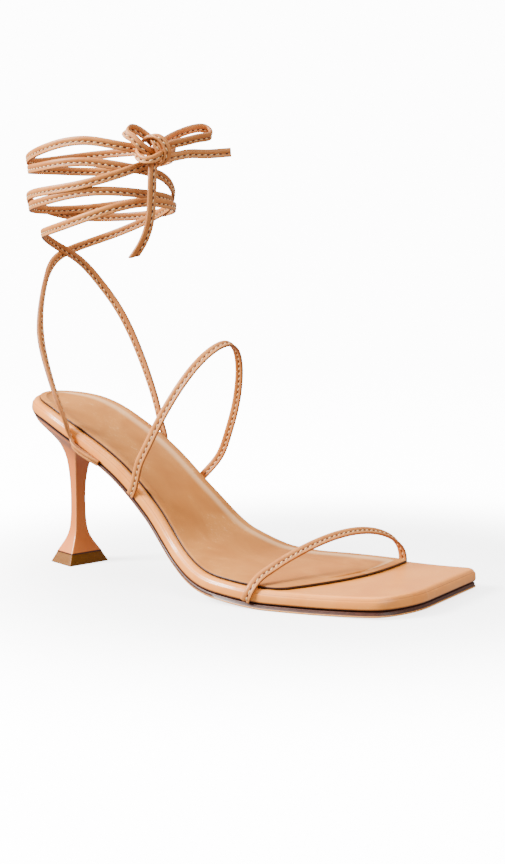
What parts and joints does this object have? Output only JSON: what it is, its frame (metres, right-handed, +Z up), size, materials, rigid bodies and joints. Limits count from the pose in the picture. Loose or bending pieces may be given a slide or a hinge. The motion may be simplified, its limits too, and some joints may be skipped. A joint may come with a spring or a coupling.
{
  "type": "high heel sandal",
  "caption": "Right-foot high heel sandal with a square toe, a flared block heel, narrow toe and instep straps, and ties wound round the ankle to a bow.",
  "frame": {"origin": "middle of the top-lift's underside on the floor", "axes": "+X towards the toe, +Y towards the foot's inner side, +Z up"},
  "size_m": [0.2007, 0.0892, 0.1946],
  "materials": {
    "sole_edge": "dark brown edge with a light tan underside",
    "glossy_leather": "smooth glossy nude leather",
    "sock_leather": "semi-gloss padded leather lining",
    "heel_leather": "smooth leather wrap, semi-gloss",
    "lift_rubber": "hard brown rubber",
    "leather": "folded nude leather with a cream topstitch"
  },
  "bodies": {
    "root": {"outsole": "sole_edge", "platform": "glossy_leather", "insole": "sock_leather", "heel": "heel_leather", "top_lift": "lift_rubber", "toe_strap": "leather", "instep_strap": "leather", "ankle_ties": "leather", "bow_knot": "leather", "bow_loop_outer": "leather", "bow_loop_inner": "leather", "tie_end_side": "leather", "tie_end_hanging": "leather"}
  },
  "joints": []
}
